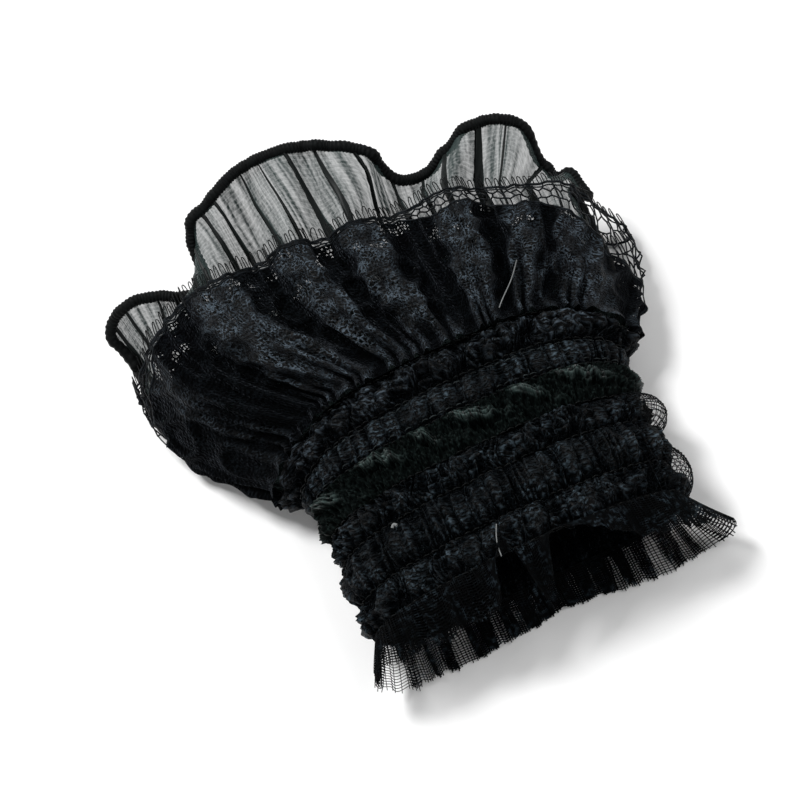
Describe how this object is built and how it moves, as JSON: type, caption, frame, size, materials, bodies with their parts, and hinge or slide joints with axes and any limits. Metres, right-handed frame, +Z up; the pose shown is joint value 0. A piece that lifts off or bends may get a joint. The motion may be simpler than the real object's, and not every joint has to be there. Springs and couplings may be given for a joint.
{
  "type": "lace cuff",
  "caption": "Elastic wrist cuff with gathered rows, a fluted lace frill over a longer see-through frill, and a short net frill round the wrist opening.",
  "frame": {"origin": "centre of the bounding box, on the surface that the cuff lies on", "axes": "+Z up from that surface, +Y along the cuff from the wrist opening to the frills, +X across it"},
  "size_m": [0.1288, 0.1256, 0.0456],
  "materials": {
    "net": "matt black gathered nylon net",
    "lace": "matt black machine lace",
    "satin": "black ribbon with a soft greenish sheen",
    "organza": "see-through black organza",
    "thread": "black overlocked thread"
  },
  "bodies": {
    "root": {"sleeve": "net", "net_frill": "net", "hem_gathers": "net", "pleated_net_ruche": "net", "small_ruche": "net", "ribbon_ruche": "satin", "stitched_band": "net", "lace_heading": "lace", "lace_frill": "lace", "lace_edge_cord": "thread", "organza_frill": "organza", "organza_rolled_edge": "thread"}
  },
  "joints": []
}
